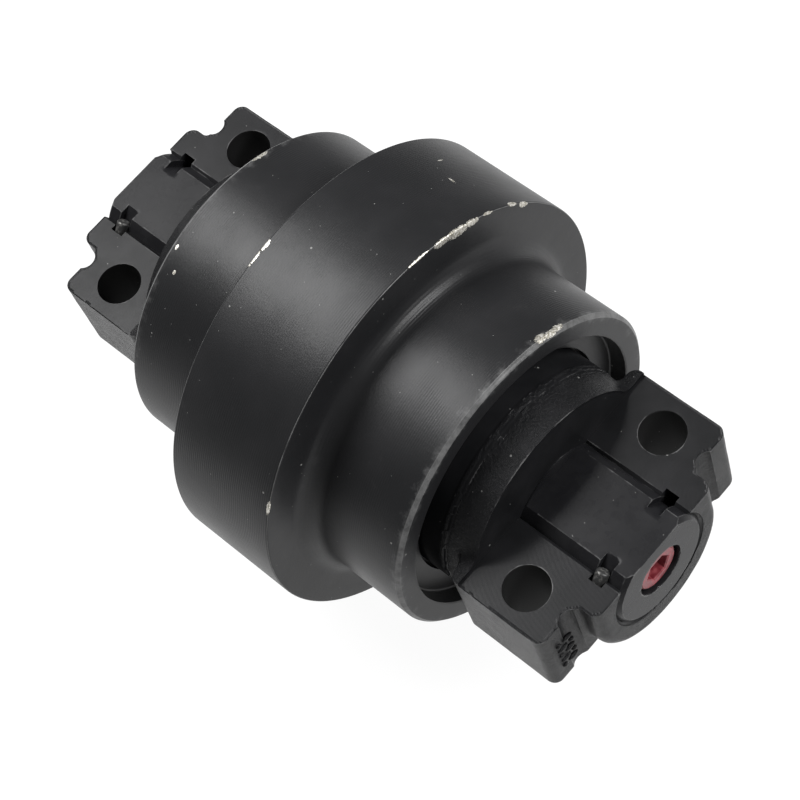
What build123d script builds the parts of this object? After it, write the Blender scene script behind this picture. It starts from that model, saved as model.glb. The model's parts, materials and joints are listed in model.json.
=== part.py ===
from build123d import *
import os
from math import cos, radians, sin

# Track roller, millimetres.  The roller turns about Y, and the origin is at its centre.
# +Z is the side that bolts up against the track frame.  +Y is the outer end, which has the oil plug.

# ---- driving dimensions ----
SHAFT_LENGTH = 264.0
SHAFT_R = 22.5
BOLT_SPACING_X = 74.0
BOLT_SPACING_Y = 209.0
BOLT_HOLE_R = 8.8
EAR_PLANE_Z = 14.8
FLANGE_R = 86.3
FLANGE_HALF_WIDTH = 24.2
TREAD_R = 66.0
SHELL_HALF_LENGTH = 68.3

# ---- fits ----
RUNNING_CLEARANCE = 0.08
COLLAR_CLEARANCE = 0.05
RUBBER_GAP = 0.05

# ---- how far a cut runs past the metal it removes ----
CUT_MARGIN = 5.0

# ---- shell ----
FLANGE_CHAMFER = 1.0
TREAD_FILLET = 8.0
TREAD_CHAMFER = 1.5
RECESS_R = 56.8
RECESS_FLOOR_Y = 60.5
RECESS_CHAMFER = 0.6
LABYRINTH_R = 47.3
SEAL_FACE_Y = 56.65
SEAL_PARTING = 0.65
SEAL_BORE_R = 39.5
SEAL_CHAMBER_Y = 49.0
OIL_CHAMBER_R = 29.0
OIL_CHAMBER_HALF = 12.0

# ---- bushes ----
BUSH_R = 26.0
BUSH_FLANGE_R = 33.0
BUSH_FLANGE_Y = 45.0
BUSH_CHAMFER = 0.8

# ---- face seals ----
SEAL_RING_INNER_R = 30.5
SEAL_RING_BODY_R = 34.0
SEAL_RING_FACE_R = 38.4
SEAL_RING_LENGTH = 6.2
SEAL_RING_FACE_THICKNESS = 2.4
SEAL_RUNNING_GAP = 0.1
TORIC_SECTION_R = 2.5
TORIC_R = 36.75
TORIC_FROM_FACE = 5.05

# ---- collars ----
NOSE_Y = 49.3
HUB_R = 28.5
CUP_FLOOR_Y = 64.4
DISC_R = 46.3
DISC_EDGE_Y = 73.0
CONE_R = 44.6
WALL_Y = 84.7
EAR_HALF_WIDTH = 51.0
EAR_BACK_Y = 80.0
EAR_FRONT_Y = 122.5
EAR_BOTTOM_Z = -26.3
EAR_CORNER_R = 4.0
EAR_SEAT_CHAMFER = 2.1
BOSS_HALF_WIDTH = 31.5
BOSS_CENTRE_Z = -3.0
BOSS_FRONT_Y = 131.5
BOSS_ROUGH_TOP_Z = 25.0
BOSS_FRONT_R = 4.0
BOSS_ROOT_R = 4.0
BORE_MOUTH_CHAMFER = 1.2

# ---- raised casting bars on one ear ----
MARK_DEPTH = 0.9
MARK_X = 41.2
MARK_Z = -6.0
MARK_BARS = 5
MARK_BAR_LENGTH = 8.0
MARK_BAR_WIDTH = 1.8
MARK_BAR_PITCH = 4.2

# ---- lock channel and lock rod ----
CHANNEL_Y = 122.1
CHANNEL_WIDTH = 5.8
CHANNEL_INNER_R = 20.2
CHANNEL_OUTER_R = 25.8
ROD_R = 2.6
ROD_PATH_R = 23.0
ROD_START_ANGLE = 45.0
ROD_SWEEP_ANGLE = 200.0

# ---- shaft ----
SHAFT_CHAMFER = 1.6
FLAT_Z = 17.5
FLAT_START_Y = 85.3
OIL_HOLE_R = 4.0
CROSS_HOLE_R = 3.5
OIL_HOLE_OVERRUN = 8.0

# ---- shaft seal rings ----
O_RING_Y = 70.0
O_RING_SECTION_R = 1.2
O_RING_GROOVE_DEPTH = 2.5
O_RING_GROOVE_WIDTH = 3.0

# ---- oil plug ----
PLUG_RECESS_R = 10.4
PLUG_RECESS_DEPTH = 9.5
PLUG_THREAD_R = 8.0
PLUG_THREAD_LENGTH = 13.0
PLUG_HEAD_R = 9.4
PLUG_HEAD_Y = 130.6
PLUG_HEAD_LENGTH = 6.4
PLUG_SOCKET_R = 5.0
PLUG_SOCKET_DEPTH = 8.0
PLUG_CHAMFER = 0.7
PLUG_SEAL_SECTION_R = 0.85

HALF_SHAFT = SHAFT_LENGTH / 2
COLLAR_BORE_R = SHAFT_R + COLLAR_CLEARANCE
BOLT_X = BOLT_SPACING_X / 2
BOLT_Y = BOLT_SPACING_Y / 2
END_PLANE_X_DIR = (-1, 0, 0)


def end_plane(y):
    """A plane square to the roller's axis, facing +Y, with its own y along Z."""
    return Plane(origin=(0, y, 0), x_dir=END_PLANE_X_DIR, z_dir=(0, 1, 0))


def save(piece, name):
    piece.label = name
    export_step(piece, f"parts/{name}.step")


def save_pair(piece, name):
    """Writes the piece for the +Y end and its mirror image for the -Y end."""
    save(piece, f"outer_{name}")
    save(mirror(piece, about=Plane.XZ), f"inner_{name}")


def make_ring(centre_r, section_r, y):
    """A rubber ring of round section about the roller's axis."""
    with BuildPart() as ring:
        with BuildSketch(Plane.XY):
            with Locations((centre_r, y)):
                Circle(section_r)
        revolve(axis=Axis.Y)
    return ring.part


def make_shell():
    """The turned roller: centre flange, two treads, and a stepped bore at each end."""
    with BuildPart() as shell:
        with BuildSketch(Plane.XY):
            with BuildLine():
                Polyline(
                    (OIL_CHAMBER_R, 0),
                    (FLANGE_R, 0),
                    (FLANGE_R, FLANGE_HALF_WIDTH),
                    (TREAD_R, FLANGE_HALF_WIDTH),
                    (TREAD_R, SHELL_HALF_LENGTH),
                    (RECESS_R, SHELL_HALF_LENGTH),
                    (RECESS_R, RECESS_FLOOR_Y),
                    (LABYRINTH_R, RECESS_FLOOR_Y),
                    (LABYRINTH_R, SEAL_FACE_Y - SEAL_PARTING),
                    (SEAL_BORE_R, SEAL_FACE_Y - SEAL_PARTING),
                    (SEAL_BORE_R, SEAL_CHAMBER_Y),
                    (BUSH_FLANGE_R, SEAL_CHAMBER_Y),
                    (BUSH_FLANGE_R, BUSH_FLANGE_Y),
                    (BUSH_R, BUSH_FLANGE_Y),
                    (BUSH_R, OIL_CHAMBER_HALF),
                    (OIL_CHAMBER_R, OIL_CHAMBER_HALF),
                    close=True,
                )
            make_face()
            fillet(vertices().filter_by_position(Axis.X, TREAD_R, TREAD_R).sort_by(Axis.Y)[0], TREAD_FILLET)
            chamfer(vertices().sort_by(Axis.X)[-1], FLANGE_CHAMFER)
            chamfer(
                vertices().filter_by_position(Axis.X, TREAD_R, TREAD_R).sort_by(Axis.Y)[-1],
                TREAD_CHAMFER,
            )
            chamfer(
                vertices().filter_by_position(Axis.X, RECESS_R, RECESS_R).sort_by(Axis.Y)[-1],
                RECESS_CHAMFER,
            )
            mirror(about=Plane.XZ)
        revolve(axis=Axis.Y)
    return shell.part


def make_bush():
    """A flanged bush: its sleeve carries the shaft, and its flange takes the side thrust."""
    with BuildPart() as bush:
        with BuildSketch(Plane.XY):
            inner_r = SHAFT_R + RUNNING_CLEARANCE
            with BuildLine():
                Polyline(
                    (inner_r, OIL_CHAMBER_HALF),
                    (BUSH_R, OIL_CHAMBER_HALF),
                    (BUSH_R, BUSH_FLANGE_Y),
                    (BUSH_FLANGE_R, BUSH_FLANGE_Y),
                    (BUSH_FLANGE_R, SEAL_CHAMBER_Y),
                    (inner_r, SEAL_CHAMBER_Y),
                    close=True,
                )
            make_face()
            chamfer(vertices().group_by(Axis.Y)[0], BUSH_CHAMFER)
            chamfer(vertices().group_by(Axis.Y)[-1], BUSH_CHAMFER)
        revolve(axis=Axis.Y)
    return bush.part


def make_seal_ring(face_y, direction):
    """A metal face seal ring whose lapped face is at face_y and whose body runs off in one direction."""
    body_end_y = face_y + direction * SEAL_RING_LENGTH
    face_back_y = face_y + direction * SEAL_RING_FACE_THICKNESS
    with BuildPart() as ring:
        with BuildSketch(Plane.XY):
            with BuildLine():
                Polyline(
                    (SEAL_RING_INNER_R, face_y),
                    (SEAL_RING_FACE_R, face_y),
                    (SEAL_RING_FACE_R, face_back_y),
                    (SEAL_RING_BODY_R, face_back_y),
                    (SEAL_RING_BODY_R, body_end_y),
                    (SEAL_RING_INNER_R, body_end_y),
                    close=True,
                )
            make_face()
        revolve(axis=Axis.Y)
    return ring.part


def make_ears():
    """The two bolting ears of a collar, as one block with rounded corners and underside."""
    with BuildPart() as ears:
        with BuildSketch(Plane.XY.offset(EAR_BOTTOM_Z)):
            with Locations((0, (EAR_BACK_Y + EAR_FRONT_Y) / 2)):
                Rectangle(2 * EAR_HALF_WIDTH, EAR_FRONT_Y - EAR_BACK_Y)
            fillet(vertices(), EAR_CORNER_R)
        extrude(amount=EAR_PLANE_Z - EAR_BOTTOM_Z)
        fillet(faces().sort_by(Axis.Z)[0].edges(), EAR_CORNER_R)
    return ears.part


def make_boss():
    """The U-shaped boss round the shaft end, with a rounded front rim."""
    with BuildPart() as boss:
        with BuildSketch(end_plane(EAR_BACK_Y)):
            with Locations((0, BOSS_CENTRE_Z)):
                Circle(BOSS_HALF_WIDTH)
                side_height = BOSS_ROUGH_TOP_Z - BOSS_CENTRE_Z
                Rectangle(2 * BOSS_HALF_WIDTH, side_height, align=(Align.CENTER, Align.MIN))
            trim_height = BOSS_HALF_WIDTH + BOSS_CENTRE_Z - BOSS_ROUGH_TOP_Z
            with Locations((0, BOSS_ROUGH_TOP_Z)):
                Rectangle(
                    2 * BOSS_HALF_WIDTH,
                    trim_height,
                    align=(Align.CENTER, Align.MIN),
                    mode=Mode.SUBTRACT,
                )
        extrude(amount=BOSS_FRONT_Y - EAR_BACK_Y)
        fillet(faces().sort_by(Axis.Y)[-1].edges(), BOSS_FRONT_R)
    return boss.part


def make_foundry_mark():
    """Raised casting bars in one column, half sunk in the front face of one ear."""
    with BuildPart() as mark:
        with BuildSketch(end_plane(EAR_FRONT_Y - MARK_DEPTH)):
            with Locations((-MARK_X, MARK_Z)):
                with GridLocations(0, MARK_BAR_PITCH, 1, MARK_BARS):
                    SlotOverall(MARK_BAR_LENGTH, MARK_BAR_WIDTH)
        extrude(amount=2 * MARK_DEPTH)
    return mark.part


def make_collar():
    """An end collar: nose and seal cup inside the roller, then disc, ears and boss outside it."""
    ears = make_ears()
    boss = make_boss()
    mark = make_foundry_mark()
    with BuildPart() as collar:
        with BuildSketch(Plane.XY):
            with BuildLine():
                Polyline(
                    (0, NOSE_Y),
                    (HUB_R, NOSE_Y),
                    (HUB_R, CUP_FLOOR_Y),
                    (SEAL_BORE_R, CUP_FLOOR_Y),
                    (SEAL_BORE_R, SEAL_FACE_Y + SEAL_PARTING),
                    (DISC_R, SEAL_FACE_Y + SEAL_PARTING),
                    (DISC_R, DISC_EDGE_Y),
                    (CONE_R, WALL_Y),
                    (0, WALL_Y),
                    close=True,
                )
            make_face()
        revolve(axis=Axis.Y)
        add(ears)
        add(boss)
        root_edges = (
            edges()
            .filter_by(Axis.Z)
            .filter_by_position(Axis.Y, EAR_FRONT_Y, EAR_FRONT_Y)
            .filter_by_position(Axis.X, -BOSS_HALF_WIDTH, BOSS_HALF_WIDTH)
        )
        fillet(root_edges, BOSS_ROOT_R)
        add(mark)
        # the milled seat: everything above the ear plane goes, outward from the wall
        with BuildSketch(Plane.XY.offset(EAR_PLANE_Z)):
            with Locations((0, WALL_Y)):
                Rectangle(
                    2 * (EAR_HALF_WIDTH + CUT_MARGIN),
                    BOSS_FRONT_Y - WALL_Y + CUT_MARGIN,
                    align=(Align.CENTER, Align.MIN),
                )
        extrude(amount=DISC_R, mode=Mode.SUBTRACT)
        # shaft bore with a chamfered mouth, and the O-ring groove inside it
        with BuildSketch(Plane.XY):
            groove_r = COLLAR_BORE_R + O_RING_GROOVE_DEPTH
            groove_half = O_RING_GROOVE_WIDTH / 2
            with BuildLine():
                Polyline(
                    (0, NOSE_Y - CUT_MARGIN),
                    (COLLAR_BORE_R, NOSE_Y - CUT_MARGIN),
                    (COLLAR_BORE_R, O_RING_Y - groove_half),
                    (groove_r, O_RING_Y - groove_half),
                    (groove_r, O_RING_Y + groove_half),
                    (COLLAR_BORE_R, O_RING_Y + groove_half),
                    (COLLAR_BORE_R, CHANNEL_Y - CHANNEL_WIDTH / 2),
                    (CHANNEL_OUTER_R, CHANNEL_Y - CHANNEL_WIDTH / 2),
                    (CHANNEL_OUTER_R, CHANNEL_Y + CHANNEL_WIDTH / 2),
                    (COLLAR_BORE_R, CHANNEL_Y + CHANNEL_WIDTH / 2),
                    (COLLAR_BORE_R, BOSS_FRONT_Y - BORE_MOUTH_CHAMFER),
                    (COLLAR_BORE_R + 2 * BORE_MOUTH_CHAMFER, BOSS_FRONT_Y + BORE_MOUTH_CHAMFER),
                    (0, BOSS_FRONT_Y + BORE_MOUTH_CHAMFER),
                    close=True,
                )
            make_face()
        revolve(axis=Axis.Y, mode=Mode.SUBTRACT)
        # the long edges where the ear plane opens the bore are chamfered
        opening_half = (COLLAR_BORE_R**2 - EAR_PLANE_Z**2) ** 0.5
        with BuildSketch(end_plane(WALL_Y)):
            with BuildLine():
                Polyline(
                    (-opening_half - EAR_SEAT_CHAMFER, EAR_PLANE_Z),
                    (-opening_half + EAR_SEAT_CHAMFER, EAR_PLANE_Z - 2 * EAR_SEAT_CHAMFER),
                    (opening_half - EAR_SEAT_CHAMFER, EAR_PLANE_Z - 2 * EAR_SEAT_CHAMFER),
                    (opening_half + EAR_SEAT_CHAMFER, EAR_PLANE_Z),
                    close=True,
                )
            make_face()
        extrude(amount=BOSS_FRONT_Y - WALL_Y, mode=Mode.SUBTRACT)
        with Locations(Plane.XY.offset(EAR_PLANE_Z)):
            with Locations((BOLT_X, BOLT_Y), (-BOLT_X, BOLT_Y)):
                Hole(BOLT_HOLE_R)
    return collar.part


def make_shaft():
    """The fixed shaft: end flats, lock grooves, and the oil way from the plug end to the middle."""
    with BuildPart() as shaft:
        with BuildSketch(Plane.XY):
            with BuildLine():
                Polyline(
                    (0, -HALF_SHAFT),
                    (SHAFT_R, -HALF_SHAFT),
                    (SHAFT_R, HALF_SHAFT),
                    (0, HALF_SHAFT),
                    close=True,
                )
            make_face()
            chamfer(vertices().group_by(Axis.X)[-1], SHAFT_CHAMFER)
        revolve(axis=Axis.Y)
        # lock grooves
        with BuildSketch(Plane.XY):
            with Locations((SHAFT_R, CHANNEL_Y), (SHAFT_R, -CHANNEL_Y)):
                Rectangle(2 * (SHAFT_R - CHANNEL_INNER_R), CHANNEL_WIDTH)
        revolve(axis=Axis.Y, mode=Mode.SUBTRACT)
        # end flats
        flat_length = HALF_SHAFT - FLAT_START_Y
        flat_centre = FLAT_START_Y + flat_length / 2
        with BuildSketch(Plane.XY.offset(FLAT_Z)):
            with Locations((0, flat_centre), (0, -flat_centre)):
                Rectangle(2 * SHAFT_R, flat_length)
        extrude(amount=SHAFT_R, mode=Mode.SUBTRACT)
        # plug seat, plug thread and oil hole
        with BuildSketch(end_plane(HALF_SHAFT)):
            Circle(PLUG_RECESS_R)
        extrude(amount=-PLUG_RECESS_DEPTH, mode=Mode.SUBTRACT)
        with BuildSketch(end_plane(HALF_SHAFT)):
            Circle(PLUG_THREAD_R)
        extrude(amount=-(PLUG_RECESS_DEPTH + PLUG_THREAD_LENGTH + 2 * PLUG_CHAMFER), mode=Mode.SUBTRACT)
        with BuildSketch(end_plane(HALF_SHAFT)):
            Circle(OIL_HOLE_R)
        extrude(amount=-(HALF_SHAFT + OIL_HOLE_OVERRUN), mode=Mode.SUBTRACT)
        with BuildSketch(Plane.XY):
            Circle(CROSS_HOLE_R)
        extrude(amount=-(SHAFT_R + CUT_MARGIN), mode=Mode.SUBTRACT)
    return shaft.part


def make_plug():
    """The oil filler plug: threaded stem, round head and hexagon socket."""
    head_back_y = PLUG_HEAD_Y - PLUG_HEAD_LENGTH
    with BuildPart() as plug:
        with BuildSketch(end_plane(head_back_y)):
            Circle(PLUG_HEAD_R)
        extrude(amount=PLUG_HEAD_LENGTH)
        chamfer(faces().sort_by(Axis.Y)[-1].edges(), PLUG_CHAMFER)
        with BuildSketch(end_plane(head_back_y)):
            Circle(PLUG_THREAD_R)
        extrude(amount=-PLUG_THREAD_LENGTH)
        chamfer(faces().sort_by(Axis.Y)[0].edges(), PLUG_CHAMFER)
        with BuildSketch(end_plane(PLUG_HEAD_Y)):
            RegularPolygon(PLUG_SOCKET_R, 6, major_radius=False)
        extrude(amount=-PLUG_SOCKET_DEPTH, mode=Mode.SUBTRACT)
    return plug.part


def make_lock_rod():
    """A bent round rod, half in the collar's channel and half in the shaft's groove."""
    start = radians(ROD_START_ANGLE)
    start_plane = Plane(
        origin=(ROD_PATH_R * cos(start), CHANNEL_Y, ROD_PATH_R * sin(start)),
        x_dir=(cos(start), 0, sin(start)),
        z_dir=(-sin(start), 0, cos(start)),
    )
    with BuildPart() as rod:
        with BuildSketch(start_plane):
            Circle(ROD_R)
        revolve(axis=Axis.Y, revolution_arc=ROD_SWEEP_ANGLE)
    return rod.part


os.makedirs("parts", exist_ok=True)

save(make_shell(), "roller_shell")
save(make_shaft(), "shaft")
save_pair(make_bush(), "bush")
save_pair(make_collar(), "collar")

rotating_face_y = SEAL_FACE_Y - SEAL_RUNNING_GAP / 2
fixed_face_y = SEAL_FACE_Y + SEAL_RUNNING_GAP / 2
save_pair(make_seal_ring(rotating_face_y, -1), "rotating_seal_ring")
save_pair(make_seal_ring(fixed_face_y, 1), "fixed_seal_ring")
save_pair(make_ring(TORIC_R, TORIC_SECTION_R, SEAL_FACE_Y - TORIC_FROM_FACE), "rotating_toric_ring")
save_pair(make_ring(TORIC_R, TORIC_SECTION_R, SEAL_FACE_Y + TORIC_FROM_FACE), "fixed_toric_ring")

o_ring_centre_r = SHAFT_R + RUBBER_GAP + O_RING_SECTION_R
save_pair(make_ring(o_ring_centre_r, O_RING_SECTION_R, O_RING_Y), "shaft_o_ring")
save_pair(make_lock_rod(), "lock_rod")

save(make_plug(), "oil_plug")
plug_seat_y = HALF_SHAFT - PLUG_RECESS_DEPTH
plug_seal_y = (plug_seat_y + PLUG_HEAD_Y - PLUG_HEAD_LENGTH) / 2
plug_seal_r = PLUG_THREAD_R + RUBBER_GAP + PLUG_SEAL_SECTION_R
save(make_ring(plug_seal_r, PLUG_SEAL_SECTION_R, plug_seal_y), "oil_plug_o_ring")
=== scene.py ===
import json
import math

import bmesh
import bpy
import numpy as np
from mathutils import Matrix, Vector


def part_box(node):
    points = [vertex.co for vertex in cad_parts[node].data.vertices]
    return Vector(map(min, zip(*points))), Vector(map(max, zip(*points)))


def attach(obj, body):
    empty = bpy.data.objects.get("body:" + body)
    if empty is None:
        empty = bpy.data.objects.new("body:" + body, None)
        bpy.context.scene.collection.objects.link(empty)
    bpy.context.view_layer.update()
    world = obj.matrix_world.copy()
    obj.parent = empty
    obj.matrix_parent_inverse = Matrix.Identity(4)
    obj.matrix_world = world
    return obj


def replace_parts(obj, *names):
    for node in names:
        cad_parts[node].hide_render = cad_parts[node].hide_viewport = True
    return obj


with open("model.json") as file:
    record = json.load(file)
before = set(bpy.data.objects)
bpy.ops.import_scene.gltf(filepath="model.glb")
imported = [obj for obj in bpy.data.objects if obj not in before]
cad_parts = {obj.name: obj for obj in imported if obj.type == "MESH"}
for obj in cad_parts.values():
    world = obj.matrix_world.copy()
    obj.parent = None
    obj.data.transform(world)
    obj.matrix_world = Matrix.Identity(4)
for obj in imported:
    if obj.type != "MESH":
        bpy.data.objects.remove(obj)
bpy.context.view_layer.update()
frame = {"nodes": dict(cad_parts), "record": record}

# Lengths are millimetres in the CAD frame, and become metres when a mesh is made.
# The floor and the lights are placed in metres.
MM = 0.001
mounts = {m["name"]: m for m in frame["record"]["mounts"]}

# ---- sizes read from the frame ----
shell_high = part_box("roller_shell")[1] / MM
shaft_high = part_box("shaft")[1] / MM
collar_low, collar_high = (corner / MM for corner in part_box("outer_collar"))
plug_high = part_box("oil_plug")[1] / MM
bolts = mounts["frame_bolts"]
BOLT_X = bolts["dims"]["spacing_x_mm"] / 2
BOLT_Y = bolts["dims"]["spacing_y_mm"] / 2
BOLT_R = bolts["dims"]["hole_r_mm"]
EAR_Z = bolts["pos_m"][2] / MM
TREAD_R = -mounts["outer_tread"]["pos_m"][2] / MM
FLANGE_R = shell_high.x
SHELL_END = shell_high.y
SHAFT_R = shaft_high.x
SHAFT_END = shaft_high.y
EAR_SIDE = collar_high.x
NOSE_Y = collar_low.y
BOSS_FRONT = collar_high.y
PLUG_FACE = plug_high.y

# ---- shell ----
FLANGE_SIDE = 24.2
TREAD_FILLET = 8.0
TREAD_CHAMFER = 1.4
EDGE_R = 0.7
FINE_EDGE_R = 0.3
RECESS_R = 56.8
RECESS_FLOOR = 60.5
RECESS_EDGE_R = 1.0
LABYRINTH_R = 47.3
LABYRINTH_FLOOR = 56.0
LABYRINTH_EDGE_R = 0.4
SEAL_BORE_R = 39.5
SEAL_BORE_START = 49.0
SHELL_SEGMENTS = 720
SHELL_LONGEST_RUN = 10.0
ARC_STEPS = 8
RUB_INSET = 0.2
RUB_SPREAD = 0.05

# ---- collars ----
HUB_R = 28.5
CUP_FLOOR = 64.4
DISC_R = 46.3
DISC_BACK = 57.3
DISC_EDGE = 73.0
CONE_TAPER = 0.14
CONE_STEP = 0.3  # the cone's foot is this much inside the disc's edge
CONE_OVERLAP = 3.0  # it starts this far back in the disc
CONE_PAST_WALL = 0.6  # and runs this far past the wall, where the milling cuts it off
CONE_FILLET = 3.0
WALL_Y = 84.7
EAR_BACK = 80.0
EAR_FRONT = 122.5
EAR_BOTTOM = -26.3
EAR_ROUGH_TOP = 16.4
EAR_CORNER = 4.0
EAR_FILLET = 2.5
BOSS_SIDE = 31.5
BOSS_CENTRE_Z = -3.0
BOSS_RIM = 4.0
RELIEF_X = 37.2
RELIEF_Y = 124.9
RELIEF_R = 4.6
BORE_R = SHAFT_R + 0.05
BORE_CHAMFER = 1.2
SEAT_HALF = 19.1
CHANNEL_Y = 122.1
CHANNEL_HALF = 2.9
CHANNEL_R = 25.8
CHANNEL_FLOOR_R = 20.2
CAST_LUMPS = ((0.16, 6.0), (0.08, 2.6))  # (height, width) of each size of unevenness
LUMP_FADE = 6.0
EAR_LUMP_SHARE = 0.35
CAST_SKIN = 0.12  # a point this near the raw casting's surface still has its cast skin
HOLE_WALL = 0.5
HOLE_RIM = 0.4
EDGE_WEAR = 0.6
EDGE_WEAR_SWING = 0.4
EDGE_WEAR_PATCH = 7.0
COLLAR_SEEDS = {"outer": 21, "inner": 37}

# ---- raised bars on the +X ears ----
MARK_X = 41.2
MARK_Z = -6.0
MARK_ROWS = 5
MARK_PITCH_Z = 4.2
MARK_HEIGHT = 0.9
MARK_HALF_WIDTH = 1.1
MARK_BARS = ((1.5, 2.5), (-2.9, 1.2))  # (offset, half length) of the long and the short bar

# ---- shaft and lock rods ----
FLAT_Z = 17.5
FLAT_START = 85.3
SHAFT_CHAMFER = 1.6
SHAFT_WEAR = 0.7
SHAFT_WEAR_START = FLAT_START + 5
ROD_R = 2.6
ROD_PATH_R = 23.0
ROD_START = 45.0
ROD_SWEEP = 200.0
ROD_END_R = 0.8

# ---- oil plug ----
PLUG_RECESS_R = 10.4
PLUG_RECESS_CHAMFER = 0.5
PLUG_SEAT = 122.5
PLUG_HEAD_R = 9.4
PLUG_HEAD_DEPTH = 6.4
PLUG_CHAMFER = 0.8
PLUG_STEM_R = 7.9
PLUG_STEM_TOP = 4.0
PLUG_STEM_END = 111.3
PLUG_SOCKET_FLATS = 10.0
PLUG_SOCKET_DEPTH = 8.0
PLUG_SOCKET_CHAMFER = 0.5
PLUG_RIM_IN = 0.4
PLUG_RIM_DOWN = 0.3
PLUG_RIM_SPREAD = 0.5

# ---- grids that the cast and ground pieces are meshed on ----
COLLAR_CELL = 0.8
SHAFT_CELL = 0.9
PLUG_CELL = 0.35
GRID_MARGIN = 2.0
COLLAR_GRID_BOTTOM = -50.5
PLUG_GRID_MARGIN = 1.0
PLUG_GRID_START = 110.0
HALVINGS = 9
SLOPE_STEP = 0.02
STEADINESS = 0.05
DIAGONAL = 0.7071  # turns the two sides of a 45 degree chamfer into a distance
WORN_ANGLE = 35.0

# ---- paint colours that several finishes share, and the wave texture's scale for a pitch of one ----
BLACK = (0.010, 0.0102, 0.011)
SCUFFED = (0.026, 0.026, 0.027)
RUBBED = (0.12, 0.12, 0.12)
DUST = (0.16, 0.16, 0.155)
BARE_STEEL = (0.80, 0.78, 0.73)
PRIMER = (0.26, 0.24, 0.19)
WAVE_TURN = 2 * math.pi / 20
MILLING_SHIFT = (0.028, -0.135, 0.0)  # metres that bring the milling arcs' centre to the origin

# ---- floor, lights and camera ----
FLOOR_SIZE = 6.0
FLOOR_GAP = 0.0005
FLOOR_BRIGHT_TO = 0.30
FLOOR_DIM_FROM = 0.75
FLOOR_BRIGHT = 0.95
FLOOR_DIM = 0.22
WORLD_GREY = 0.24
LIGHT_DISTANCE = 1.4
CAMERA_AZIMUTH = 153.64
CAMERA_ELEVATION = 60.12
CAMERA_ROLL = -24.39
CAMERA_DISTANCE = 868.3
CAMERA_AIM = (3.98, 8.65, -5.46)
CAMERA_LENS = 104.65
CAMERA_SENSOR = 36.0


# ---------------------------------------------------------------- mesh tools
def new_object(name, points, faces, smooth_angle=30.0):
    """A mesh object from points in millimetres; edges sharper than the angle stay sharp."""
    mesh = bpy.data.meshes.new(name)
    mesh.from_pydata((np.asarray(points, float) * MM).tolist(), [], faces)
    mesh.validate()
    mesh.shade_smooth()
    mesh.set_sharp_from_angle(angle=math.radians(smooth_angle))
    made = bpy.data.objects.new(name, mesh)
    bpy.context.scene.collection.objects.link(made)
    return made


def set_mask(obj, name, values):
    """Stores one number per vertex, which the materials read."""
    attribute = obj.data.attributes.new(name, "FLOAT", "POINT")
    attribute.data.foreach_set("value", np.asarray(values, np.float32))


def worn_edges(obj):
    """One at the ends of every edge that stands out sharply, and zero elsewhere."""
    mesh = bmesh.new()
    mesh.from_mesh(obj.data)
    mask = np.zeros(len(mesh.verts))
    for edge in mesh.edges:
        if edge.is_manifold and edge.calc_face_angle_signed() > math.radians(WORN_ANGLE):
            for vertex in edge.verts:
                mask[vertex.index] = 1.0
    mesh.free()
    return mask


def rounded_profile(corners):
    """Points (radius, y) along a profile whose corners (radius, y, rounding) are arcs."""
    path = []
    count = len(corners)
    for index, (r, y, rounding) in enumerate(corners):
        here = Vector((r, y))
        if rounding == 0 or index in (0, count - 1):
            path.append(here)
            continue
        back = (Vector(corners[index - 1][:2]) - here).normalized()
        ahead = (Vector(corners[index + 1][:2]) - here).normalized()
        half = back.angle(ahead) / 2
        reach = rounding / math.tan(half)
        centre = here + (back + ahead).normalized() * (rounding / math.sin(half))
        first = here + back * reach - centre
        turn = first.angle_signed(here + ahead * reach - centre)
        for step in range(ARC_STEPS + 1):
            arm = first.copy()
            arm.rotate(Matrix.Rotation(-turn * step / ARC_STEPS, 2))
            path.append(centre + arm)
    return [(p.x, p.y) for p in path]


def divided(profile, longest):
    """The same profile with long runs cut into pieces no longer than given."""
    path = [profile[0]]
    for (r0, y0), (r1, y1) in zip(profile, profile[1:]):
        pieces = max(1, math.ceil(math.hypot(r1 - r0, y1 - y0) / longest))
        for k in range(1, pieces + 1):
            path.append((r0 + (r1 - r0) * k / pieces, y0 + (y1 - y0) * k / pieces))
    return path


def lathe(name, profile, segments):
    """Turns a closed profile of (radius, y) points about Y."""
    turn = 2 * math.pi * np.arange(segments) / segments
    points = [(r * math.cos(a), y, r * math.sin(a)) for r, y in profile for a in turn]
    rows = len(profile)
    faces = []
    for row in range(rows):
        here = row * segments
        there = (row + 1) % rows * segments
        for k in range(segments):
            after = (k + 1) % segments
            faces.append((here + k, there + k, there + after, here + after))
    return new_object(name, points, faces)


class ValueNoise:
    """Smooth repeatable noise on a lattice of random numbers, from -1 to 1."""

    SIDE = 64

    def __init__(self, seed):
        self.lattice = np.random.default_rng(seed).uniform(-1, 1, (self.SIDE,) * 3)

    def __call__(self, x, y, z, size):
        scaled = [c / size + self.SIDE for c in (x, y, z)]
        whole = [np.floor(c).astype(int) for c in scaled]
        part = [c - w for c, w in zip(scaled, whole)]
        part = [p * p * (3 - 2 * p) for p in part]
        total = 0.0
        for corner in np.ndindex(2, 2, 2):
            index = tuple((w + c) % self.SIDE for w, c in zip(whole, corner))
            weight = 1.0
            for p, c in zip(part, corner):
                weight = weight * (p if c else 1 - p)
            total = total + weight * self.lattice[index]
        return total


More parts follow.
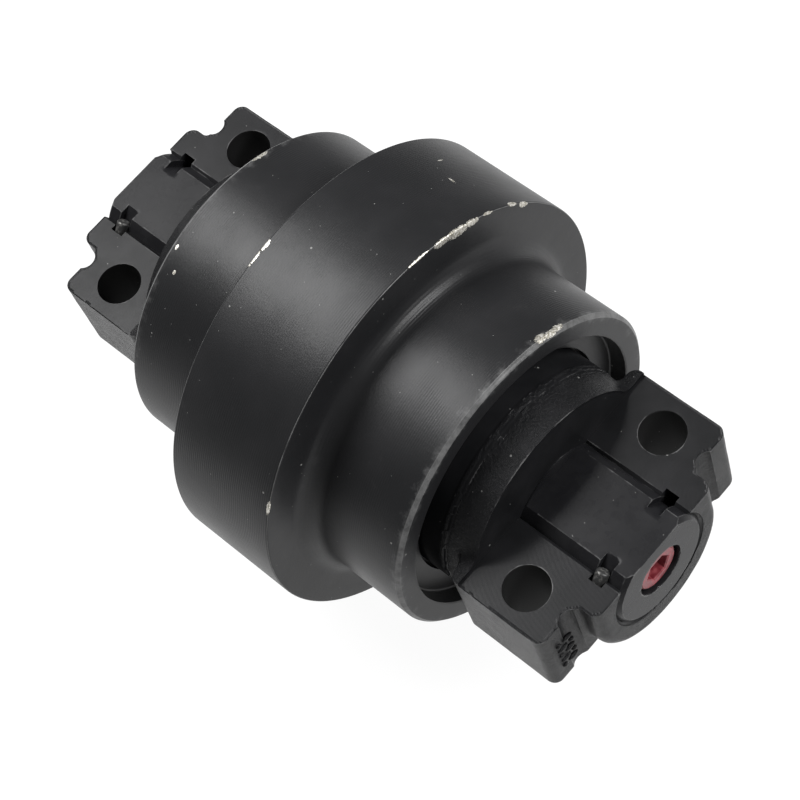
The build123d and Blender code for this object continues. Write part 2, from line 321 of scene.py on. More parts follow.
def crossings(field, start, starts_inside, step, cell):
    """Where the surface crosses the grid edges that begin at the start points, and its normals there."""
    t_in = np.where(starts_inside, 0.0, 1.0)
    t_out = 1.0 - t_in
    for _ in range(HALVINGS):
        middle = (t_in + t_out) / 2
        p = start + cell * middle[:, None] * step
        is_in = field(*p.T) < 0
        t_in = np.where(is_in, middle, t_in)
        t_out = np.where(is_in, t_out, middle)
    p = start + cell * ((t_in + t_out) / 2)[:, None] * step
    small = cell * SLOPE_STEP
    ways = np.eye(3, dtype=int)
    slope = np.stack([field(*(p + small * s).T) - field(*(p - small * s).T) for s in ways], axis=1)
    slope /= np.maximum(np.linalg.norm(slope, axis=1), 1e-9)[:, None]
    return p, slope


def best_vertices(points, normals, index, size):
    """For each cell, the point nearest to all the tangent planes of the crossings round it."""
    share = np.bincount(index, minlength=size).astype(float)
    mean = np.stack([np.bincount(index, points[:, a], size) for a in range(3)], axis=1)
    mean = mean / share[:, None]
    reach = np.einsum("ij,ij->i", normals, points - mean[index])
    matrix = np.empty((size, 3, 3))
    vector = np.empty((size, 3))
    for a in range(3):
        vector[:, a] = np.bincount(index, normals[:, a] * reach, size)
        for b in range(3):
            matrix[:, a, b] = np.bincount(index, normals[:, a] * normals[:, b], size)
    matrix += STEADINESS * np.eye(3)
    return mean + np.linalg.solve(matrix, vector[:, :, None])[:, :, 0]


def dual_contour(field, low, high, cell):
    """Points and quads of the surface where the field is zero, with sharp edges kept sharp."""
    low = np.asarray(low, float)
    counts = np.ceil((np.asarray(high, float) - low) / cell).astype(int)
    lines = [low[a] + cell * np.arange(counts[a] + 1) for a in range(3)]
    inside = field(*np.meshgrid(*lines, indexing="ij")) < 0
    cells_of, at_of, normal_of, quads_of = [], [], [], []
    step = np.eye(3, dtype=int)
    for axis in range(3):
        near = [slice(None)] * 3
        far = [slice(None)] * 3
        near[axis] = slice(0, -1)
        far[axis] = slice(1, None)
        at = np.argwhere(inside[tuple(near)] != inside[tuple(far)])
        starts_inside = inside[tuple(at.T)]
        p, slope = crossings(field, low + cell * at, starts_inside, step[axis], cell)
        b, c = step[(axis + 1) % 3], step[(axis + 2) % 3]
        around = np.stack([at, at - b, at - b - c, at - c], axis=1)
        ids = np.ravel_multi_index(around.reshape(-1, 3).T, counts).reshape(-1, 4)
        cells_of.append(ids.ravel())
        at_of.append(np.repeat(p, 4, axis=0))
        normal_of.append(np.repeat(slope, 4, axis=0))
        quads_of.append(np.where(starts_inside[:, None], ids, ids[:, ::-1]))
    active, index = np.unique(np.concatenate(cells_of), return_inverse=True)
    points, normals = np.concatenate(at_of), np.concatenate(normal_of)
    placed = best_vertices(points, normals, index.ravel(), len(active))
    corner = low + cell * np.stack(np.unravel_index(active, counts), axis=1)
    placed = np.clip(placed, corner, corner + cell)
    quads = np.searchsorted(active, np.concatenate(quads_of))
    return placed, quads.tolist()


# ---------------------------------------------------------------- materials
class Graph:
    """A material's node tree, with short calls for the nodes that the finishes share."""

    SOCKETS = {
        "color": "Base Color",
        "roughness": "Roughness",
        "metallic": "Metallic",
        "normal": "Normal",
        "specular": "Specular IOR Level",
    }

    def __init__(self, name):
        self.material = bpy.data.materials.new(name)
        self.material.use_nodes = True
        self.tree = self.material.node_tree
        self.shader = self.tree.nodes["Principled BSDF"]
        self.place = self.add("ShaderNodeTexCoord").outputs["Object"]

    def add(self, kind, inputs=None, **settings):
        node = self.tree.nodes.new(kind)
        for key, value in settings.items():
            setattr(node, key, value)
        for key, value in (inputs or {}).items():
            self.feed(node.inputs[key], value)
        return node

    def feed(self, socket, value):
        """Links another node's output to the socket, or sets the socket to a plain value."""
        if isinstance(value, bpy.types.NodeSocket):
            self.tree.links.new(value, socket)
        else:
            socket.default_value = value

    def math(self, operation, a, b):
        return self.add("ShaderNodeMath", {0: a, 1: b}, operation=operation).outputs[0]

    def times(self, a, b):
        return self.math("MULTIPLY", a, b)

    def plus(self, a, b):
        return self.math("ADD", a, b)

    def noise(self, size_mm, detail=3.0, roughness=0.55):
        """Noise whose features are about size_mm across."""
        inputs = {
            "Vector": self.place,
            "Scale": 1 / (size_mm * MM),
            "Detail": detail,
            "Roughness": roughness,
        }
        return self.add("ShaderNodeTexNoise", inputs).outputs["Fac"]

    def varied(self, base, swing, size_mm, detail=3.0):
        """The base value, raised by up to the swing where the noise is high."""
        return self.plus(self.times(self.noise(size_mm, detail), swing), base)

    def wave(self, pitch_mm, distortion, detail, place, **settings):
        """Bands or rings that repeat every pitch_mm."""
        inputs = {
            "Vector": place,
            "Scale": WAVE_TURN / (pitch_mm * MM),
            "Distortion": distortion,
            "Detail": detail,
        }
        return self.add("ShaderNodeTexWave", inputs, **settings).outputs["Fac"]

    def ramp(self, value, low, high):
        """0 below low, 1 above high."""
        inputs = {"Value": value, "From Min": low, "From Max": high}
        return self.add("ShaderNodeMapRange", inputs, interpolation_type="SMOOTHSTEP").outputs["Result"]

    def mask(self, name):
        return self.add("ShaderNodeAttribute", attribute_name=name).outputs["Fac"]

    def mix(self, share, a, b):
        """A colour between a and b, each a colour or another node's output."""
        node = self.add("ShaderNodeMix", {"Factor": share}, data_type="RGBA")
        self.feed(node.inputs["A"], a if isinstance(a, bpy.types.NodeSocket) else (*a, 1.0))
        self.feed(node.inputs["B"], b if isinstance(b, bpy.types.NodeSocket) else (*b, 1.0))
        return node.outputs["Result"]

    def mix_value(self, share, a, b):
        inputs = {"Factor": share, "A": a, "B": b}
        return self.add("ShaderNodeMix", inputs, data_type="FLOAT").outputs["Result"]

    def bump(self, height, depth_mm, normal=None):
        inputs = {"Height": height, "Distance": depth_mm * MM, "Strength": 1.0}
        if normal is not None:
            inputs["Normal"] = normal
        return self.add("ShaderNodeBump", inputs).outputs["Normal"]

    def finish(self, **sockets):
        for key, value in sockets.items():
            value = (*value, 1.0) if isinstance(value, tuple) else value
            self.feed(self.shader.inputs[self.SOCKETS[key]], value)
        return self.material


def specks(graph, spacing_mm, share, size):
    """A mask of tiny scattered dots: one cell in a few has a dot, smaller than the cell."""
    inputs = {"Vector": graph.place, "Scale": 1 / (spacing_mm * MM), "Randomness": 1.0}
    cells = graph.add("ShaderNodeTexVoronoi", inputs)
    near = graph.math("LESS_THAN", cells.outputs["Distance"], size)
    pick = graph.add("ShaderNodeSeparateColor", {"Color": cells.outputs["Color"]}).outputs[0]
    return graph.times(near, graph.math("LESS_THAN", pick, share))


# each chip is (angle from +X towards +Z, radius, y, half length, half width, half height)
SHELL_CHIPS = [
    (109.0, FLANGE_R - 0.8, FLANGE_SIDE, 4.2, 0.9, 2.0),
    (114.5, FLANGE_R - 1.0, FLANGE_SIDE, 6.2, 1.2, 2.6),
    (119.0, FLANGE_R - 0.6, FLANGE_SIDE, 4.2, 1.1, 1.8),
    (101.0, FLANGE_R, FLANGE_SIDE, 7.0, 0.8, 0.7),
    (125.0, FLANGE_R, FLANGE_SIDE, 3.0, 0.9, 0.8),
    (134.5, FLANGE_R, FLANGE_SIDE - 0.6, 2.6, 1.1, 0.9),
    (139.0, FLANGE_R - 0.4, FLANGE_SIDE, 2.8, 0.9, 1.6),
    (113.0, TREAD_R, SHELL_END - 1.6, 3.2, 1.9, 1.4),
    (117.0, TREAD_R, SHELL_END - 1.0, 4.0, 1.5, 1.4),
    (120.5, TREAD_R, SHELL_END - 1.6, 3.0, 1.4, 1.4),
    (79.0, FLANGE_R, -FLANGE_SIDE, 4.0, 1.3, 1.3),
    (83.0, FLANGE_R, -FLANGE_SIDE + 0.6, 2.8, 1.1, 1.2),
    (110.0, TREAD_R, 1.2 - SHELL_END, 4.2, 1.7, 1.4),
    (62.0, TREAD_R, -61.0, 0.9, 0.7, 1.0),
    (69.0, TREAD_R, -65.5, 1.2, 0.6, 1.0),
    (29.5, FLANGE_R, FLANGE_SIDE - 0.4, 3.6, 0.8, 0.9),
    (128.0, FLANGE_R, 3.0, 0.5, 2.0, 0.8),
    (133.0, FLANGE_R, -9.0, 1.6, 0.35, 0.8),
    (-62.0, FLANGE_R, FLANGE_SIDE, 4.4, 1.2, 1.3),
    (-128.0, FLANGE_R, -FLANGE_SIDE, 3.4, 1.1, 1.3),
    (205.0, TREAD_R, SHELL_END - 1, 2.6, 1.2, 1.3),
    (248.0, TREAD_R, 1 - SHELL_END, 3.0, 1.3, 1.3),
]


def chipped(graph, chips):
    """A mask of the listed chips: ellipsoids on the turned surface, with ragged outlines."""
    total = 0.0
    ragged = graph.times(graph.math("SUBTRACT", graph.noise(1.0, 6.0, 0.8), 0.5), 3.2)
    for degrees, radius, y, half_length, half_width, half_height in chips:
        angle = math.radians(degrees)
        settings = {
            "Vector": graph.place,
            "Location": (radius * math.cos(angle) * MM, y * MM, radius * math.sin(angle) * MM),
            "Rotation": (0.0, -angle, 0.0),
            "Scale": (half_height * MM, half_width * MM, half_length * MM),
        }
        local = graph.add("ShaderNodeMapping", settings, vector_type="TEXTURE").outputs[0]
        away = graph.add("ShaderNodeVectorMath", {0: local}, operation="LENGTH").outputs["Value"]
        total = graph.math("MAXIMUM", graph.math("SUBTRACT", 1.0, away), total)
    ragged = graph.times(ragged, graph.ramp(total, 0.0, 0.05))
    return graph.ramp(graph.plus(total, ragged), 0.02, 0.10)


def painted(graph, color, roughness, normal, specular, chips=()):
    """Finishes black paint: edges rubbed grey, nicks and listed chips down to steel, dust specks."""
    edge = graph.mask("edge")
    rub = graph.ramp(graph.plus(edge, graph.times(graph.noise(5.0, 5.0, 0.7), 1.1)), 1.00, 1.65)
    color = graph.mix(rub, color, RUBBED)
    chip = graph.plus(edge, graph.times(graph.noise(1.8, 6.0, 0.75), 1.5))
    chip = graph.ramp(chip, 1.84, 1.94)
    if chips:
        chip = graph.math("MAXIMUM", chip, chipped(graph, chips))
    dust = graph.math("MAXIMUM", specks(graph, 3.2, 0.22, 0.06), specks(graph, 8.0, 0.30, 0.05))
    color = graph.mix(dust, color, DUST)
    steel = graph.mix(graph.ramp(graph.noise(0.9, 5.0, 0.7), 0.35, 0.65), BARE_STEEL, PRIMER)
    color = graph.mix(chip, color, steel)
    normal = graph.bump(graph.times(chip, -1.0), 0.12, normal)
    return graph.finish(
        color=color,
        specular=specular,
        roughness=graph.mix_value(chip, roughness, 0.42),
        metallic=graph.times(chip, 0.75),
        normal=normal,
    )


def shell_paint():
    """Satin paint over turned steel: fine feed grooves round the axis show through it."""
    graph = Graph("shell_black_paint")
    cloud = graph.ramp(graph.noise(35.0, 4.0), 0.35, 0.75)
    color = graph.mix(cloud, BLACK, (0.014, 0.014, 0.015))
    scuff = graph.times(graph.ramp(graph.noise(7.0, 6.0), 0.62, 0.80), 0.35)
    color = graph.mix(scuff, color, SCUFFED)
    roughness = graph.varied(0.32, 0.12, 18.0, 5.0)
    feed = graph.wave(0.95, 0.25, 1.0, graph.place, wave_type="BANDS", bands_direction="Y")
    patchy = graph.plus(graph.times(graph.ramp(graph.noise(22.0, 3.0), 0.40, 0.62), 0.8), 0.2)
    normal = graph.bump(graph.times(feed, patchy), 0.034)
    normal = graph.bump(graph.noise(0.9, 4.0, 0.7), 0.045, normal)
    normal = graph.bump(graph.noise(9.0, 2.0), 0.05, normal)
    return painted(graph, color, roughness, normal, 0.22, SHELL_CHIPS)


def collar_paint():
    """The same paint over a casting: rough where cast, and with milling arcs where machined."""
    graph = Graph("collar_black_paint")
    cast = graph.mask("cast")
    cloud = graph.ramp(graph.noise(14.0, 5.0), 0.35, 0.75)
    color = graph.mix(cloud, (0.007, 0.0072, 0.0078), (0.011, 0.011, 0.012))
    grit = graph.noise(1.1, 5.0, 0.7)
    scuff = graph.times(graph.ramp(grit, 0.60, 0.80), graph.times(cast, 0.5))
    color = graph.mix(scuff, color, SCUFFED)
    roughness = graph.varied(0.25, 0.16, 6.0, 5.0)
    # The bolt-hole walls get a darker colour: painted shade inside the holes. They are also made rougher.
    bore = graph.mask("bore")
    color = graph.mix(bore, color, (0.006, 0.006, 0.006))
    roughness = graph.mix_value(bore, roughness, 0.68)
    shifted = graph.add("ShaderNodeMapping", {"Vector": graph.place, "Location": MILLING_SHIFT})
    mill = graph.wave(1.6, 0.8, 1.0, shifted.outputs[0], wave_type="RINGS", rings_direction="Z")
    milled = graph.math("SUBTRACT", 1.0, cast)
    normal = graph.bump(graph.times(mill, milled), 0.005)
    normal = graph.bump(graph.times(grit, cast), 0.42, normal)
    normal = graph.bump(graph.noise(0.8, 2.0), 0.012, normal)
    return painted(graph, color, roughness, normal, 0.13)


def shaft_paint():
    """Thin satin paint over ground steel."""
    graph = Graph("shaft_black_paint")
    cloud = graph.ramp(graph.noise(12.0, 4.0), 0.35, 0.75)
    color = graph.mix(cloud, (0.008, 0.008, 0.009), (0.013, 0.013, 0.014))
    roughness = graph.varied(0.22, 0.12, 6.0, 4.0)
    normal = graph.bump(graph.noise(0.7, 2.0), 0.008)
    normal = graph.bump(graph.noise(5.0, 2.0), 0.02, normal)
    return painted(graph, color, roughness, normal, 0.11)


def plug_paint():
    """Dark red coating with worn, paler edges."""
    graph = Graph("plug_dark_red")
    blotch = graph.ramp(graph.noise(2.2, 4.0), 0.35, 0.7)
    color = graph.mix(blotch, (0.13, 0.014, 0.02), (0.26, 0.05, 0.06))
    worn = graph.plus(graph.mask("edge"), graph.times(graph.noise(0.9, 4.0), 0.6))
    worn = graph.ramp(worn, 0.95, 1.2)
    color = graph.mix(worn, color, (0.42, 0.24, 0.23))
    normal = graph.bump(graph.noise(0.5, 3.0), 0.02)
    return graph.finish(color=color, roughness=graph.mix_value(blotch, 0.34, 0.5), normal=normal)


def rod_paint():
    """Black paint, worn through to dull steel in patches."""
    graph = Graph("rod_paint_worn")
    worn = graph.ramp(graph.noise(1.4, 5.0), 0.50, 0.68)
    color = graph.mix(worn, (0.022, 0.022, 0.022), (0.15, 0.147, 0.14))
    normal = graph.bump(graph.noise(0.6, 3.0), 0.03)
    return graph.finish(color=color, roughness=0.42, metallic=graph.times(worn, 0.5), normal=normal)


def bronze():
    graph = Graph("bush_bronze")
    color = graph.mix(graph.noise(6.0, 4.0), (0.50, 0.31, 0.12), (0.66, 0.45, 0.20))
    feed = graph.wave(0.6, 0.3, 2.0, graph.place, wave_type="BANDS", bands_direction="Y")
    rough = graph.varied(0.28, 0.15, 4.0)
    return graph.finish(color=color, metallic=1.0, roughness=rough, normal=graph.bump(feed, 0.004))


def lapped_steel():
    graph = Graph("seal_ring_steel")
    color = graph.mix(graph.noise(5.0, 4.0), (0.42, 0.42, 0.43), (0.60, 0.60, 0.61))
    rough = graph.varied(0.18, 0.12, 3.0)
    normal = graph.bump(graph.noise(0.5), 0.003)
    return graph.finish(color=color, metallic=1.0, roughness=rough, normal=normal)


def rubber():
    graph = Graph("seal_rubber_black")
    color = graph.mix(graph.noise(3.0, 4.0), (0.010, 0.010, 0.010), (0.024, 0.023, 0.022))
    rough = graph.varied(0.55, 0.15, 2.0)
    return graph.finish(color=color, roughness=rough, normal=graph.bump(graph.noise(0.4), 0.02))


def show_as(obj, material):
    obj.data.materials.clear()
    obj.data.materials.append(material)
    return obj


# ---------------------------------------------------------------- roller shell
def make_shell(material):
    """The turned shell: flange, treads, end recesses, labyrinth steps and seal bores."""
    half = [
        (SEAL_BORE_R, SEAL_BORE_START, 0),
        (SEAL_BORE_R, LABYRINTH_FLOOR, FINE_EDGE_R),
        (LABYRINTH_R, LABYRINTH_FLOOR, 0),
        (LABYRINTH_R, RECESS_FLOOR, LABYRINTH_EDGE_R),
        (RECESS_R, RECESS_FLOOR, RECESS_EDGE_R),
        (RECESS_R, SHELL_END, EDGE_R),
        (TREAD_R - TREAD_CHAMFER, SHELL_END, FINE_EDGE_R),
        (TREAD_R, SHELL_END - TREAD_CHAMFER, FINE_EDGE_R),
        (TREAD_R, FLANGE_SIDE, TREAD_FILLET),
        (FLANGE_R, FLANGE_SIDE, EDGE_R),
        (FLANGE_R, 0, 0),
    ]
    outer = divided(rounded_profile(half), SHELL_LONGEST_RUN)
    profile = outer + [(r, -y) for r, y in reversed(outer[:-1])]
    shell = lathe("roller_shell_turned", profile, SHELL_SEGMENTS)
    rubbed = [
        (FLANGE_R - RUB_INSET, FLANGE_SIDE - RUB_INSET),
        (TREAD_R - RUB_INSET / 2, SHELL_END - TREAD_CHAMFER),
        (TREAD_R - TREAD_CHAMFER, SHELL_END - RUB_INSET / 2),
        (RECESS_R + RUB_INSET, SHELL_END - RUB_INSET),
    ]
    edge = []
    for r, y in profile:
        away = min((r - at_r) ** 2 + (abs(y) - at_y) ** 2 for at_r, at_y in rubbed)
        edge.append(math.exp(-(away / RUB_SPREAD)))
    set_mask(shell, "edge", np.repeat(edge, SHELL_SEGMENTS))
    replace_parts(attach(show_as(shell, material), "roller"), "roller_shell")


# ---------------------------------------------------------------- collars
def box_2d(dx, dy, rounding):
    """Distance to a rounded corner, given the distances outside each side."""
    dx, dy = dx + rounding, dy + rounding
    return np.hypot(np.maximum(dx, 0), np.maximum(dy, 0)) + np.minimum(np.maximum(dx, dy), 0) - rounding


def round_union(a, b, r):
    """Union of two solids with a fillet of radius r in the corner between them."""
    return np.maximum(r, np.minimum(a, b)) - np.hypot(np.maximum(r - a, 0), np.maximum(r - b, 0))


def cast_field(x, y, z, noise):
    """The raw casting of an end collar: cone, ears and boss, run together with fillets."""
    r = np.hypot(x, z)
    side = np.abs(x)
    cone_r = DISC_R - CONE_STEP - (y - DISC_EDGE) * CONE_TAPER
    cone = np.maximum(r - cone_r, np.maximum(DISC_EDGE - CONE_OVERLAP - y, y - WALL_Y - CONE_PAST_WALL))
    ear_middle = (EAR_BACK + EAR_FRONT) / 2
    plan = box_2d(side - EAR_SIDE, np.abs(y - ear_middle) - (EAR_FRONT - EAR_BACK) / 2, EAR_CORNER)
    ears = np.maximum(box_2d(plan, EAR_BOTTOM - z, EAR_CORNER), z - EAR_ROUGH_TOP)
    relief = np.hypot(side - RELIEF_X, y - RELIEF_Y) - RELIEF_R
    ears = np.maximum(ears, -relief)
    outline = np.hypot(x, np.minimum(z - BOSS_CENTRE_Z, 0)) - BOSS_SIDE
    boss = box_2d(outline, np.maximum(y - BOSS_FRONT, EAR_BACK - y), BOSS_RIM)
    boss = np.maximum(boss, z - EAR_ROUGH_TOP)
    body = round_union(round_union(ears, boss, EAR_FILLET), cone, CONE_FILLET)
    lumps = sum(height * noise(x, y, z, width) for height, width in CAST_LUMPS)
    near_cone = np.clip((EAR_BACK + LUMP_FADE - y) / LUMP_FADE, 0, 1)
    return body + lumps * (EAR_LUMP_SHARE + (1 - EAR_LUMP_SHARE) * near_cone)


def collar_field(x, y, z, noise):
    """The machined collar: the casting milled flat above the ears, with disc, hub, bore and holes."""
    r = np.hypot(x, z)
    side = np.abs(x)
    body = np.maximum(cast_field(x, y, z, noise), np.minimum(z - EAR_Z, y - WALL_Y))
    disc = np.maximum(r - DISC_R, np.maximum(DISC_BACK - y, y - DISC_EDGE))
    hub = np.maximum(r - HUB_R, np.maximum(NOSE_Y - y, y - EAR_BACK))
    body = np.minimum(np.minimum(body, disc), hub)
    cup = np.maximum(np.maximum(r - SEAL_BORE_R, HUB_R - r), y - CUP_FLOOR)
    body = np.maximum(body, -cup)
    body = np.maximum(body, BORE_R - r)
    body = np.maximum(body, (y - (BOSS_FRONT - BORE_CHAMFER) - (r - BORE_R)) * DIAGONAL)
    seat = np.minimum((z - EAR_Z - side + SEAT_HALF) * DIAGONAL, y - WALL_Y)
    body = np.maximum(body, seat)
    hole = np.hypot(side - BOLT_X, y - BOLT_Y) - BOLT_R
    body = np.maximum(body, -hole)
    channel = np.maximum(r - CHANNEL_R, np.abs(y - CHANNEL_Y) - CHANNEL_HALF)
    return np.maximum(body, -channel)


def make_collar(side_name, material):
    """One end collar, made at the +Y end and mirrored for the other end."""
    noise = ValueNoise(COLLAR_SEEDS[side_name])
    low = (-EAR_SIDE - GRID_MARGIN, NOSE_Y - GRID_MARGIN, COLLAR_GRID_BOTTOM)
    high = (EAR_SIDE + GRID_MARGIN, BOSS_FRONT + GRID_MARGIN, DISC_R + GRID_MARGIN)
    points, faces = dual_contour(lambda x, y, z: collar_field(x, y, z, noise), low, high, COLLAR_CELL)
    cast = (np.abs(cast_field(*points.T, noise)) < CAST_SKIN).astype(float)
    spread = EDGE_WEAR + EDGE_WEAR_SWING * noise(*points.T, EDGE_WEAR_PATCH)
    if side_name == "inner":
        points[:, 1] *= -1
        faces = [face[::-1] for face in faces]
    collar = new_object(f"{side_name}_collar_casting", points, faces, 40.0)
    hole = np.hypot(np.abs(points[:, 0]) - BOLT_X, np.abs(points[:, 1]) - BOLT_Y) - BOLT_R
    set_mask(collar, "cast", cast)
    # bore marks the bolt-hole walls, which the collar paint darkens as painted shade
    set_mask(collar, "bore", (np.abs(hole) < HOLE_WALL) & (points[:, 2] < EAR_Z - HOLE_RIM))
    set_mask(collar, "edge", worn_edges(collar) * spread)
    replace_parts(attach(show_as(collar, material), "mounting"), f"{side_name}_collar")


def make_marks(side_name, sign, collar):
    """Rounded raised bars, a long and a short one in each row, on the front face of the +X ear."""
    mesh = bmesh.new()
    for row in range(MARK_ROWS):
        z = MARK_Z + (row - (MARK_ROWS - 1) / 2) * MARK_PITCH_Z
        flip = 1 if row % 2 else -1
        for offset, half_length in MARK_BARS:
            centre = Vector((MARK_X + flip * offset, sign * EAR_FRONT, z))
            size = Matrix.Diagonal((half_length * MM, MARK_HEIGHT * MM, MARK_HALF_WIDTH * MM, 1.0))
            place = Matrix.Translation(centre * MM) @ size
            bmesh.ops.create_icosphere(mesh, subdivisions=3, radius=1.0, matrix=place)
    data = bpy.data.meshes.new(f"{side_name}_collar_marks")
    mesh.to_mesh(data)
    mesh.free()
    data.shade_smooth()
    marks = bpy.data.objects.new(f"{side_name}_collar_marks", data)
    bpy.context.scene.collection.objects.link(marks)
    set_mask(marks, "cast", np.ones(len(data.vertices)))
    set_mask(marks, "bore", np.zeros(len(data.vertices)))
    set_mask(marks, "edge", np.zeros(len(data.vertices)))
    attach(show_as(marks, collar), "mounting")


# ---------------------------------------------------------------- shaft, rods, plug
def shaft_field(x, y, z):
    """The shaft's two ends and middle: flats, lock grooves, chamfers and the plug's seat."""
    r = np.hypot(x, z)
    along = np.abs(y)
    body = np.maximum(r - SHAFT_R, along - SHAFT_END)
    body = np.maximum(body, (r - SHAFT_R + along - SHAFT_END + SHAFT_CHAMFER) * DIAGONAL)
    body = np.maximum(body, np.minimum(z - FLAT_Z, along - FLAT_START))
    groove = np.maximum(CHANNEL_FLOOR_R - r, np.abs(along - CHANNEL_Y) - CHANNEL_HALF)
    body = np.maximum(body, -groove)
    seat = np.maximum(r - PLUG_RECESS_R, PLUG_SEAT - y)
    body = np.maximum(body, -seat)
    rim = (y - SHAFT_END + PLUG_RECESS_CHAMFER) - (r - PLUG_RECESS_R)
    return np.maximum(body, rim * DIAGONAL)


def make_shaft(material):
    low = (-SHAFT_R - GRID_MARGIN, -SHAFT_END - GRID_MARGIN, -SHAFT_R - GRID_MARGIN)
    high = (SHAFT_R + GRID_MARGIN, SHAFT_END + GRID_MARGIN, SHAFT_R + GRID_MARGIN)
    points, faces = dual_contour(shaft_field, low, high, SHAFT_CELL)
    shaft = new_object("shaft_ground", points, faces, 30.0)
    exposed = np.abs(points[:, 1]) > SHAFT_WEAR_START
    set_mask(shaft, "edge", worn_edges(shaft) * exposed * SHAFT_WEAR)
    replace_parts(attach(show_as(shaft, material), "mounting"), "shaft")


def make_rod(side_name, sign, material):
    """The bent lock rod, with rounded ends, in the lock channel."""
    sections, around, steps = 120, 24, 4
    turns = [math.pi / 2 * k / steps for k in range(steps + 1)]
    rounded = [(ROD_END_R * (1 - math.cos(a)), ROD_R - ROD_END_R + ROD_END_R * math.sin(a)) for a in turns]
    length = math.radians(ROD_SWEEP) * ROD_PATH_R
    stations = rounded + [(length * k / sections, ROD_R) for k in range(2, sections - 1)]
    stations += [(length - s, r) for s, r in reversed(rounded)]
    points = []
    for s, r in stations:
        a = math.radians(ROD_START) - s / ROD_PATH_R
        for k in range(around):
            t = 2 * math.pi * k / around
            reach = ROD_PATH_R + r * math.cos(t)
            points.append((reach * math.cos(a), sign * (CHANNEL_Y + r * math.sin(t)), reach * math.sin(a)))
    faces = []
    for row in range(len(stations) - 1):
        here = row * around
        there = here + around
        for k in range(around):
            after = (k + 1) % around
            face = (here + k, here + after, there + after, there + k)
            faces.append(face if sign > 0 else face[::-1])
    last = (len(stations) - 1) * around
    first_cap = tuple(range(around))[::-1]
    last_cap = tuple(last + k for k in range(around))
    faces += [first_cap, last_cap] if sign > 0 else [first_cap[::-1], last_cap[::-1]]
    rod = new_object(f"{side_name}_lock_rod_bent", points, faces, 40.0)
    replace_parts(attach(show_as(rod, material), "mounting"), f"{side_name}_lock_rod")


def plug_field(x, y, z):
    """The plug's head with its hexagon socket, and the plain stem below it."""
    r = np.hypot(x, z)
    head = np.maximum(r - PLUG_HEAD_R, np.maximum(y - PLUG_FACE, PLUG_FACE - PLUG_HEAD_DEPTH - y))
    head = np.maximum(head, (r - PLUG_HEAD_R + y - PLUG_FACE + PLUG_CHAMFER) * DIAGONAL)
    stem = np.maximum(r - PLUG_STEM_R, np.maximum(y - PLUG_FACE + PLUG_STEM_TOP, PLUG_STEM_END - y))
    body = np.minimum(head, stem)
    flats = [x * math.sin(a) + z * math.cos(a) for a in (0, math.pi / 3, 2 * math.pi / 3)]
    socket = np.max(np.abs(np.stack(flats)), axis=0) - PLUG_SOCKET_FLATS / 2
    socket = np.maximum(socket, PLUG_FACE - PLUG_SOCKET_DEPTH - y)
    body = np.maximum(body, -socket)
    return np.maximum(body, ((y - PLUG_FACE + PLUG_SOCKET_CHAMFER) - socket) * DIAGONAL)


def make_plug(material):
    reach = PLUG_HEAD_R + PLUG_GRID_MARGIN
    low = (-reach, PLUG_GRID_START, -reach)
    high = (reach, PLUG_FACE + PLUG_GRID_MARGIN, reach)
    points, faces = dual_contour(plug_field, low, high, PLUG_CELL)
    plug = new_object("oil_plug_hexagon", points, faces, 35.0)
    radius = np.hypot(points[:, 0], points[:, 2])
    outward = (radius - PLUG_HEAD_R + PLUG_RIM_IN) / PLUG_RIM_SPREAD
    forward = (points[:, 1] - PLUG_FACE + PLUG_RIM_DOWN) / PLUG_RIM_SPREAD
    set_mask(plug, "edge", np.exp(-outward ** 2 - forward ** 2))
    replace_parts(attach(show_as(plug, material), "mounting"), "oil_plug")


# ---------------------------------------------------------------- building the object
black_shell = shell_paint()
black_collar = collar_paint()
make_shell(black_shell)
make_shaft(shaft_paint())
make_collar("outer", black_collar)
make_collar("inner", black_collar)
make_marks("outer", 1, black_collar)
make_marks("inner", -1, black_collar)
worn_rod = rod_paint()
make_rod("outer", 1, worn_rod)
make_rod("inner", -1, worn_rod)
make_plug(plug_paint())

bronze_look, steel_look, rubber_look = bronze(), lapped_steel(), rubber()
for name, node in frame["nodes"].items():
    if name.endswith("bush"):
        show_as(node, bronze_look)
    elif name.endswith("seal_ring"):
        show_as(node, steel_look)
    elif name.endswith("toric_ring") or name.endswith("o_ring"):
        show_as(node, rubber_look)


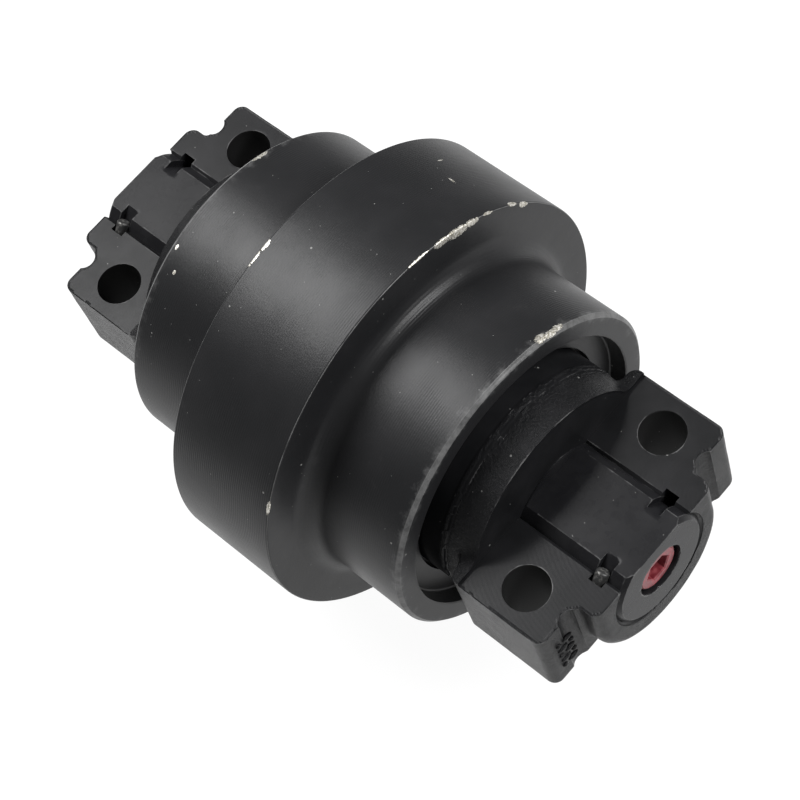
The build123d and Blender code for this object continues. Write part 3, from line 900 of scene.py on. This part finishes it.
# ---------------------------------------------------------------- floor, lights and camera
def make_floor():
    """A pale floor just under the flange, lit evenly near the object and dimmer far away."""
    bpy.ops.mesh.primitive_plane_add(size=FLOOR_SIZE, location=(0, 0, -FLANGE_R * MM - FLOOR_GAP))
    floor = bpy.context.object
    floor.name = "floor"
    graph = Graph("pale_floor")
    away = graph.add("ShaderNodeVectorMath", {0: graph.place}, operation="LENGTH").outputs["Value"]
    glow = graph.mix_value(graph.ramp(away, FLOOR_BRIGHT_TO, FLOOR_DIM_FROM), FLOOR_BRIGHT, FLOOR_DIM)
    graph.feed(graph.shader.inputs["Emission Strength"], glow)
    graph.shader.inputs["Emission Color"].default_value = (1.0, 1.0, 1.0, 1.0)
    show_as(floor, graph.finish(color=(0.08, 0.08, 0.08), roughness=0.9))


def soft_light(name, direction, size, power):
    """A rectangular light in the given direction from the object, turned towards it."""
    light = bpy.data.lights.new(name, "AREA")
    light.shape = "RECTANGLE"
    light.size, light.size_y = size
    light.energy = power
    lamp = bpy.data.objects.new(name, light)
    lamp.location = Vector(direction).normalized() * LIGHT_DISTANCE
    lamp.rotation_euler = (-lamp.location).to_track_quat("-Z", "Y").to_euler()
    bpy.context.scene.collection.objects.link(lamp)


def make_lights():
    world = bpy.data.worlds.new("studio")
    world.use_nodes = True
    grey = (WORLD_GREY, WORLD_GREY, WORLD_GREY, 1.0)
    world.node_tree.nodes["Background"].inputs["Color"].default_value = grey
    bpy.context.scene.world = world
    soft_light("overhead_softbox", (0.07, -0.50, 0.87), (0.80, 0.64), 26.0)
    soft_light("front_light", (-0.45, 0.62, 0.62), (0.80, 0.45), 22.0)


def make_camera():
    """The camera on a sphere round its aim point, turned about its own axis by the roll."""
    a, e = math.radians(CAMERA_AZIMUTH), math.radians(CAMERA_ELEVATION)
    back = Vector((math.sin(a) * math.cos(e), -math.cos(a) * math.cos(e), math.sin(e)))
    data = bpy.data.cameras.new("camera")
    data.lens = CAMERA_LENS
    data.sensor_width = CAMERA_SENSOR
    camera = bpy.data.objects.new("camera", data)
    camera.rotation_mode = "QUATERNION"
    camera.location = (Vector(CAMERA_AIM) + back * CAMERA_DISTANCE) * MM
    roll = Matrix.Rotation(math.radians(CAMERA_ROLL), 3, "Z").to_quaternion()
    camera.rotation_quaternion = (-back).to_track_quat("-Z", "Y") @ roll
    bpy.context.scene.collection.objects.link(camera)
    bpy.context.scene.camera = camera


make_floor()
make_lights()
make_camera()
bpy.context.scene.view_settings.view_transform = "Standard"
